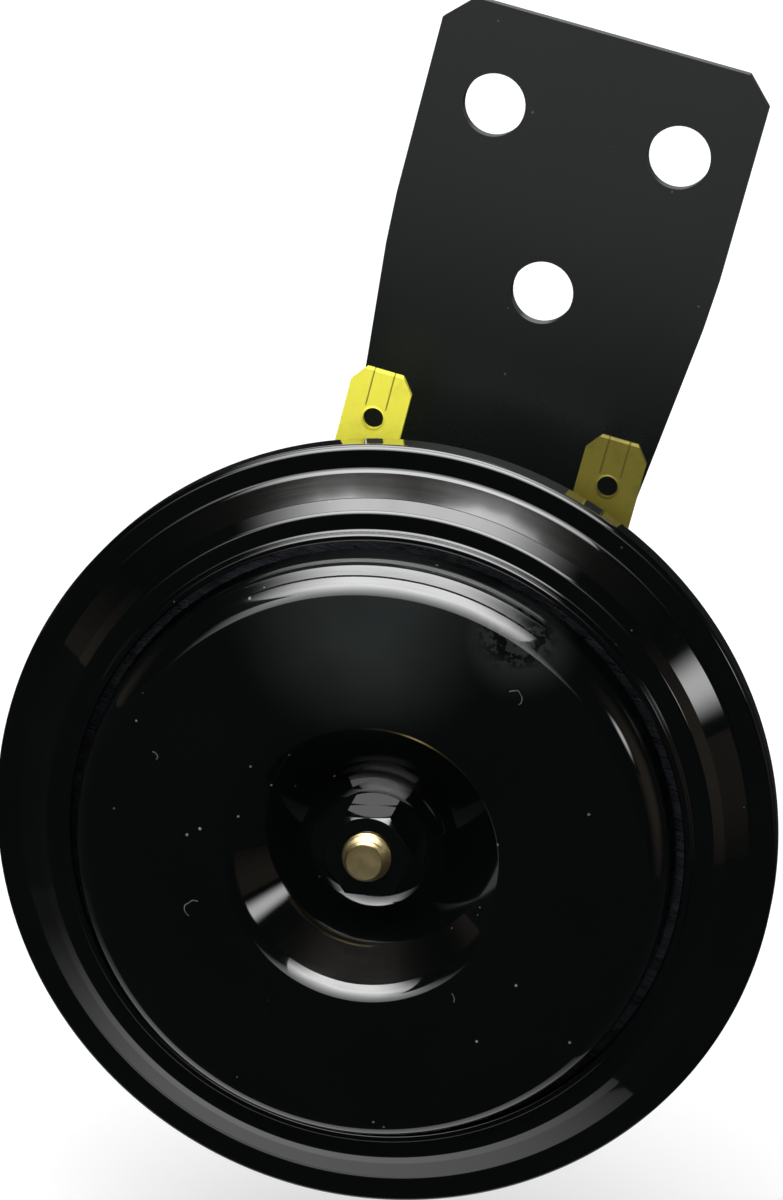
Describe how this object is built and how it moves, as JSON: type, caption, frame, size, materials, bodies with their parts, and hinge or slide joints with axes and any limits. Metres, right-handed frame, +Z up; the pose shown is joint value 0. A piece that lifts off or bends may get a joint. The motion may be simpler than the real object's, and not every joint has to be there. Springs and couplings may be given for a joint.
{
  "type": "disc horn",
  "caption": "Round electric disc horn with a dished sound disc, a flat three-hole mounting bracket and two spade terminals.",
  "frame": {"origin": "centre of the bracket's lower bolt hole, at half the plate's thickness", "axes": "+Z up along the bracket, -Y the front that sounds, +X to the right seen from the front; the horn's own axis runs along Y, 54.3 mm below the origin"},
  "size_m": [0.08, 0.0407, 0.1213],
  "materials": {
    "black_enamel": "gloss black stoving enamel on pressed steel, with a few dust specks",
    "black_paint": "satin black paint on flat steel, lightly scuffed",
    "brass": "bare rolled brass, slightly dulled",
    "yellow_zinc": "yellow passivated zinc plating on steel",
    "grey_zinc": "bright zinc plating on steel",
    "plain_steel": "plain machined steel",
    "spring_steel": "blued spring steel",
    "copper_wire": "enamelled copper wire",
    "black_moulding": "moulded black plastic",
    "pressed_fibre": "red-brown pressed fibre",
    "gasket_paper": "oiled gasket paper"
  },
  "bodies": {
    "horn_body": {"adjusting_boss": "grey_zinc", "adjusting_lock_nut": "grey_zinc", "adjusting_screw": "grey_zinc", "bracket": "black_paint", "bracket_lock_washer": "grey_zinc", "bracket_nut": "grey_zinc", "breaker_arm": "grey_zinc", "breaker_blade": "spring_steel", "breaker_button": "pressed_fibre", "breaker_insulators": "pressed_fibre", "breaker_lead": "copper_wire", "breaker_post": "grey_zinc", "breaker_rivets": "grey_zinc", "coil_bobbin": "black_moulding", "coil_end_lead": "copper_wire", "coil_start_lead": "copper_wire", "coil_winding": "copper_wire", "core_stud": "grey_zinc", "diaphragm": "spring_steel", "fixed_contact": "plain_steel", "front_cover": "black_enamel", "front_gasket": "gasket_paper", "housing": "black_enamel", "moving_contact": "plain_steel", "rear_gasket": "gasket_paper", "terminal_block": "black_moulding", "terminal_left": "brass", "terminal_right": "brass", "terminal_rivets": "brass"},
    "vibrating_group": {"sound_disc": "black_enamel", "front_nut": "black_enamel", "front_washer": "black_enamel", "armature_stud": "yellow_zinc", "disc_spacer": "plain_steel", "diaphragm_washer": "plain_steel", "armature": "plain_steel"}
  },
  "joints": [
    {"name": "diaphragm_stroke", "type": "slide", "parent": "horn_body", "child": "vibrating_group", "axis": [0, 1, 0], "range_m": [-0.00035, 0.00035], "stiffness_N_per_m": 4000, "deforming": ["diaphragm", "breaker_blade"]}
  ]
}
